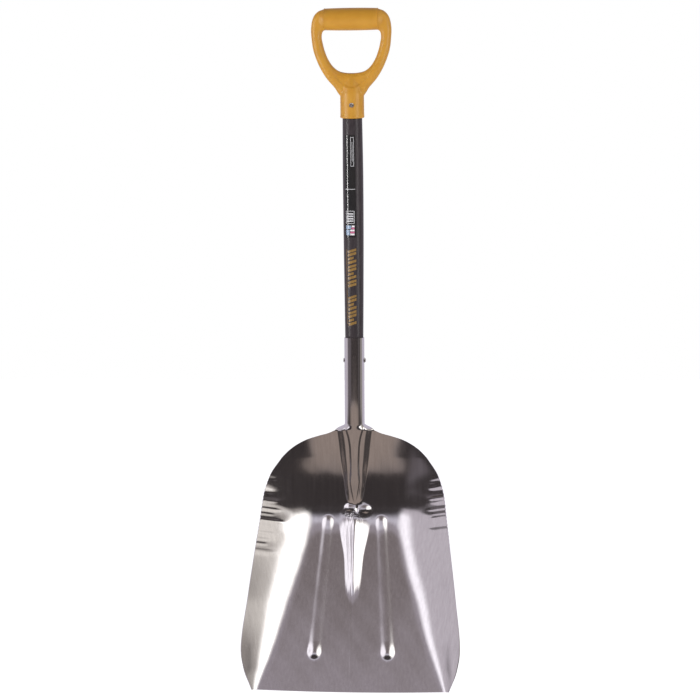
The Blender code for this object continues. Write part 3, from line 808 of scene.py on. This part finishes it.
# The web's dished face: lowest point of its lower edge, how fast that edge climbs, its depth and softness
DISH_Z = 0.0535
DISH_CURL = 22.0
DISH_DEPTH = 0.0017
DISH_EDGE = 0.0022
DISH_SIDE = (0.024, 0.036)    # distance from the middle over which the dish fades out
DISH_FACE = (0.006, 0.011)    # depth over which a point counts as on the face
DISH_REACH = (0.045, 0.004, 0.100)  # farthest x, smallest depth and highest z that can be dished


def smooth_outline(points, per_span):
    """Catmull-Rom points on one side of a mirror-symmetric outline, then the mirrored side."""
    side = []
    full = [(-points[1][0], points[1][1]), *points, (-points[-2][0], points[-2][1])]
    for a, b, c, d in zip(full, full[1:], full[2:], full[3:]):
        for k in range(per_span):
            t = k / per_span
            side.append(tuple(0.5 * (2 * q + (r - p) * t + (2 * p - 5 * q + 4 * r - u) * t ** 2
                                     + (3 * q - p - 3 * r + u) * t ** 3) for p, q, r, u in zip(a, b, c, d)))
    side.append(points[-1])
    return side + [(-x, z) for x, z in reversed(side[1:-1])]


def outline_spline(data, points):
    spline = data.splines.new("POLY")
    spline.points.add(len(points) - 1)
    for target, (x, z) in zip(spline.points, points):
        target.co = (x, z, 0.0, 1.0)
    spline.use_cyclic_u = True


def grip_plate():
    """Arms and web in the grip's own frame: the D outline with its hand hole and well-rounded edges."""
    data = bpy.data.curves.new("grip_outline", "CURVE")
    data.dimensions = "2D"
    data.fill_mode = "BOTH"
    data.extrude = FRAME_THICKNESS / 2 - FRAME_ROUND
    data.bevel_depth = FRAME_ROUND
    data.bevel_resolution = 6
    data.offset = -FRAME_ROUND
    outline_spline(data, smooth_outline(GRIP_OUTER, OUTLINE_STEPS))
    outline_spline(data, smooth_outline(GRIP_HOLE, OUTLINE_STEPS))
    guide = bpy.data.objects.new("grip_outline", data)
    bpy.context.scene.collection.objects.link(guide)
    bpy.context.view_layer.update()
    mesh = bpy.data.meshes.new_from_object(guide.evaluated_get(bpy.context.evaluated_depsgraph_get()))
    bpy.data.objects.remove(guide)
    mesh.transform(Matrix.Rotation(pi / 2, 4, "X"))
    return mesh


def both_ends(profile):
    """A half profile from the middle outwards, mirrored into a whole one."""
    return [(-x, r) for x, r in reversed(profile[1:])] + list(profile)


def bar_frame():
    """Lays the hand bar along X in the grip's own frame."""
    return Matrix.Translation((0, 0, BAR_Z)) @ Matrix.Rotation(pi / 2, 4, "Y")


def dish_web(mesh):
    """Sinks the front and back of the web under the hand hole, with a curved lower edge."""
    for vertex in mesh.vertices:
        x, y, z = vertex.co
        if abs(x) > DISH_REACH[0] or abs(y) < DISH_REACH[1] or z > DISH_REACH[2]:
            continue
        edge = DISH_Z + DISH_CURL * x * x
        inside = float(smoothstep(edge - DISH_EDGE, edge + DISH_EDGE, z))
        inside *= 1 - float(smoothstep(*DISH_SIDE, abs(x)))
        face = float(smoothstep(*DISH_FACE, abs(y)))
        vertex.co.y -= (1 if y > 0 else -1) * DISH_DEPTH * inside * face


def build_grip():
    """Ferrule, bar core and frame merged into one moulding, then dished, bored and drilled."""
    parts = bmesh.new()
    for source in (turned("grip_ferrule", FERRULE, Matrix.Identity(4), GRIP_SIDES),
                   turned("grip_core", both_ends(BAR_CORE), bar_frame(), GRIP_SIDES)):
        parts.from_mesh(source.data)
        bpy.data.objects.remove(source)
    parts.from_mesh(grip_plate())
    bmesh.ops.remove_doubles(parts, verts=parts.verts, dist=WELD)
    mesh = bpy.data.meshes.new("grip_frame")
    parts.to_mesh(mesh)
    parts.free()
    grip = bpy.data.objects.new("grip_frame", mesh)
    bpy.context.scene.collection.objects.link(grip)
    remesh = grip.modifiers.new("one_body", "REMESH")
    remesh.mode = "VOXEL"
    remesh.voxel_size = VOXEL
    soften = grip.modifiers.new("soften", "SMOOTH")
    soften.factor = 0.5
    soften.iterations = SOFTEN
    apply_modifiers(grip)
    dish_web(grip.data)
    bore = Matrix.Translation((0, 0, FERRULE_DEPTH - CUTTER_REACH))
    rivet = Matrix.Translation((0, 0, GRIP_RIVET_Z)) @ Matrix.Rotation(-pi / 2, 4, "X")
    cut_holes(grip, [("grip_bore", bore, FERRULE_BORE), ("grip_rivet_hole", rivet, RIVET_HOLE)])
    apply_modifiers(grip)
    grip.data.transform(grip_frame())
    shade(grip, 50)
    return grip


def build_bar_sleeve():
    """Barrel-shaped hand bar: its ends stand a little proud of the arms, as a moulding line."""
    matrix = grip_frame() @ bar_frame()
    return turned("grip_bar", both_ends(BAR_SLEEVE), matrix, SLEEVE_SIDES, smooth=50)


# ================================================================ rivets

FERRULE_RADIUS = 0.0207
# Rivet from its head to its peened tail: (distance past the surface it sits on, radius)
HEAD = ((0.0011, 0.0008), (0.0014, 0.0014), (0.0018, 0.0021), (0.0018, 0.0028), (0.0014, 0.0035),
        (0.0007, 0.0041), (0.0004, 0.0042), (0.0003, 0.0040), (0.0003, 0.0024))
TAIL = ((0.0011, 0.0024), (0.0013, 0.0033), (0.0018, 0.0034), (0.0023, 0.0029), (0.0026, 0.0017),
        (0.0026, 0.0006))
BURR = ((0.0003, 0.0027), (0.0003, 0.0045), (0.0006, 0.0046), (0.0010, 0.0044), (0.00115, 0.0040),
        (0.00115, 0.0027))
RIVET_SIDES = 48


def build_rivet(name, matrix, surface):
    """Rivet through a round part, its head and tail seated at the surface's radius."""
    profile = [(-surface - out, radius) for out, radius in HEAD]
    profile += [(surface + out, radius) for out, radius in TAIL]
    return turned(name, profile, matrix, RIVET_SIDES, smooth=40)


def build_burr(name, matrix, surface):
    """Domed washer under the peened tail."""
    sides = RIVET_SIDES
    points = rings([(surface + out, radius) for out, radius in BURR], matrix, sides)
    faces = grid_faces(len(BURR), sides, closed=True)
    last = (len(BURR) - 1) * sides
    faces += [(last + k, last + (k + 1) % sides, (k + 1) % sides, k) for k in range(sides)]
    return make_object(name, points, faces)


# ================================================================ label and printing

LABEL_Z = (0.787, 0.963)
LABEL_ANGLES = (radians(-48), radians(17))
LABEL_THICKNESS = 0.0003
PRINT = 0.00006               # thickness of printed ink
LABEL_LIFT = GAP + LABEL_THICKNESS + 0.00002  # how far off the shaft the ink on the label starts
SHAFT_LIFT = 0.00003          # and the ink on the shaft
PATCH_TURN = radians(3.5)     # largest faces of a patch
PATCH_STEP = 0.006


def wrapped(patches, base, thickness):
    """Closed thin patches round the shaft, each (low z, high z, first angle, last angle, slant)."""
    points, faces = [], []
    for low, high, first, last, slant in patches:
        columns = max(int((last - first) / PATCH_TURN), 1) + 1
        rows = max(int((high - low) / PATCH_STEP), 1) + 1
        start = len(points)
        for layer in (base, base + thickness):
            for j in range(rows):
                for i in range(columns):
                    u = i / (columns - 1)
                    z = low + (high - low) * j / (rows - 1) + slant * (u - 0.5)
                    points.append(on_shaft(z, first + (last - first) * u, shaft_radius(z) + layer))
        count = rows * columns
        bottom = [tuple(start + k for k in face) for face in grid_faces(rows, columns)]
        faces += [face[::-1] for face in bottom]
        faces += [tuple(k + count for k in face) for face in bottom]
        rim = ([(0, i) for i in range(columns)] + [(j, columns - 1) for j in range(1, rows)]
               + [(rows - 1, i) for i in range(columns - 2, -1, -1)]
               + [(j, 0) for j in range(rows - 2, 0, -1)])
        rim = [start + j * columns + i for j, i in rim]
        faces += [(a, b, b + count, a + count) for a, b in zip(rim, rim[1:] + rim[:1])]
    return points, faces


def build_label():
    patch = (*LABEL_Z, *LABEL_ANGLES, 0.0)
    return make_object("label_film", *wrapped([patch], GAP, LABEL_THICKNESS), smooth=60)


def build_print(name, patches):
    return make_object(name, *wrapped(patches, LABEL_LIFT, PRINT), smooth=60)


def framed(low, high, first, last, line):
    """Outline of a rectangle on the label, as four thin strips."""
    turn = line / shaft_radius(low)
    return [(low, low + line, first, last, 0), (high - line, high, first, last, 0),
            (low + line, high - line, first, first + turn, 0),
            (low + line, high - line, last - turn, last, 0)]


def degrees_patch(low, high, first, last, slant=0.0):
    """A patch whose two angles are given in degrees."""
    return (low, high, radians(first), radians(last), slant)


def silver_print():
    """Outlined panel at the top of the label, a rule below it and a ruled block near its foot."""
    patches = framed(0.910, 0.960, radians(-9), radians(9), 0.0007)
    patches += [degrees_patch(0.918, 0.952, -1.2, 1.2), degrees_patch(0.870, 0.8709, -44, 13)]
    patches += framed(0.8105, 0.8330, radians(-40), radians(9), 0.0009)
    patches += [degrees_patch(0.8140 + 0.0042 * k, 0.8164 + 0.0042 * k, -33, 3) for k in range(4)]
    return patches


GOLD_BLOCKS = 10
GOLD_SPACE = 4                # this block is left out
GOLD_Z = 0.6325
GOLD_PITCH = 0.0136
GOLD_FIRST = -33              # angles in degrees
GOLD_LAST = 18
GOLD_SHORT = 2                # where every other block's upper half ends
GOLD_SLANT = 0.0045
GOLD_SHORT_SLANT = 0.003
GOLD_LOWER = 0.0046           # height of a block's lower half
GOLD_UPPER = (0.0062, 0.0104)  # where its upper half starts and ends


def gold_band():
    """Row of slanted blocks, a plain stand-in for the maker's printing, beside one long rule."""
    patches = [degrees_patch(0.634, 0.766, -43, -40.5)]
    for k in range(GOLD_BLOCKS):
        if k == GOLD_SPACE:
            continue
        low = GOLD_Z + GOLD_PITCH * k
        patches.append(degrees_patch(low, low + GOLD_LOWER, GOLD_FIRST, GOLD_LAST, GOLD_SLANT))
        last, slant = (GOLD_LAST, GOLD_SLANT) if k % 2 else (GOLD_SHORT, GOLD_SHORT_SLANT)
        patches.append(degrees_patch(low + GOLD_UPPER[0], low + GOLD_UPPER[1], GOLD_FIRST, last, slant))
    return patches


def gold_print():
    return make_object("gold_band", *wrapped(gold_band(), SHAFT_LIFT, PRINT), smooth=60)


# ================================================================ assembly

STREAKED = "streaked"
STREAKED_SLOTS = ("shaft", "grip", "label")
# Coloured blocks at the label's foot: (low z, high z, first angle, last angle) in degrees
BLUE_BLOCKS = ((0.7905, 0.8000, -40, -18), (0.8015, 0.8075, -40, -10))
PALE_BLOCKS = ((0.7905, 0.7935, -15, 9), (0.7975, 0.8005, -15, 9), (0.8045, 0.8075, -7, 9))
ROSE_BLOCKS = ((0.7940, 0.7970, -15, 9), (0.8010, 0.8040, -7, 9))


def place(piece, mat, slot, replaced=None):
    """Gives a piece its material and body, adds it to the streak lamps' receivers if its slot is one of
    theirs, and hides the CAD node that it stands for.
    """
    if slot in STREAKED_SLOTS:
        bpy.data.collections[STREAKED].objects.link(piece)
    piece.data.materials.clear()
    piece.data.materials.append(mat)
    if replaced:
        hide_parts(replaced)
    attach(piece, "root")


def build_shovel():
    plastic = yellow_plastic()
    steel = rivet_steel()
    place(build_blade(), aluminium(), "blade", "scoop_blade")
    place(build_shaft(), charcoal_paint(), "shaft", "shaft")
    place(build_grip(), plastic, "grip", "d_grip")
    place(build_bar_sleeve(), plastic, "grip")
    for name, matrix, surface in (("grip_rivet", grip_rivet_frame(), FERRULE_RADIUS),
                                  ("socket_rivet", socket_rivet_frame(), SOCKET_RADIUS)):
        place(build_rivet(name + "_turned", matrix, surface), steel, "rivet", name)
        place(build_burr(name + "_washer", matrix, surface), steel, "rivet", name + "_burr")
    place(build_label(), film("black_film", (0.012, 0.012, 0.013), 0.16), "label", "label")
    place(build_print("label_silver", silver_print()), film("silver_ink", (0.46, 0.46, 0.48), 0.3), "label")
    for name, blocks, colour in (("blue", BLUE_BLOCKS, (0.22, 0.30, 0.42)),
                                 ("pale", PALE_BLOCKS, (0.62, 0.60, 0.62)),
                                 ("rose", ROSE_BLOCKS, (0.42, 0.10, 0.20))):
        patches = [degrees_patch(*block) for block in blocks]
        place(build_print("label_" + name, patches), film(name + "_ink", colour, 0.3), "label")
    place(gold_print(), film("gold_ink", (0.205, 0.116, 0.028), 0.35), "label")


STREAK_DISTANCE = 2.0
STREAK_HEIGHT = 0.62
STREAK_AIM = (0, 0, 0.85)
STREAK_SIZE = (0.10, 1.6)
STREAKS = (("streak_left", radians(-62), 24), ("streak_right", radians(57), 15))  # name, turn, power
# Name, place, aim, size, power, colour
LAMPS = (("key", (-0.9, -2.7, 2.0), (0, 0, 0.9), (0.8, 1.2), 13, (1.0, 0.98, 0.95)),
         ("fill", (0.9, -2.7, 1.5), (0, 0, 0.9), (0.8, 1.2), 10, (0.97, 0.97, 1.0)),
         ("top", (0, 0.4, 3.2), (0, 0, 0.5), (1.5, 1.5), 4, (1.0, 1.0, 1.0)))


def streak_light(name, turn, power):
    """Tall narrow lamp that only the shaft, the grip and the label catch, as a soft line along them."""
    at = (STREAK_DISTANCE * sin(turn), -STREAK_DISTANCE * cos(turn), STREAK_HEIGHT)
    light = area_light(name, at, STREAK_AIM, STREAK_SIZE, power, (1.0, 0.99, 0.97))
    light.visible_glossy = True
    light.light_linking.receiver_collection = bpy.data.collections[STREAKED]


def build_lamps():
    bpy.data.collections.new(STREAKED)
    for streak in STREAKS:
        streak_light(*streak)
    for lamp in LAMPS:
        area_light(*lamp)


build_world()
build_floor()
build_lamps()
build_shovel()
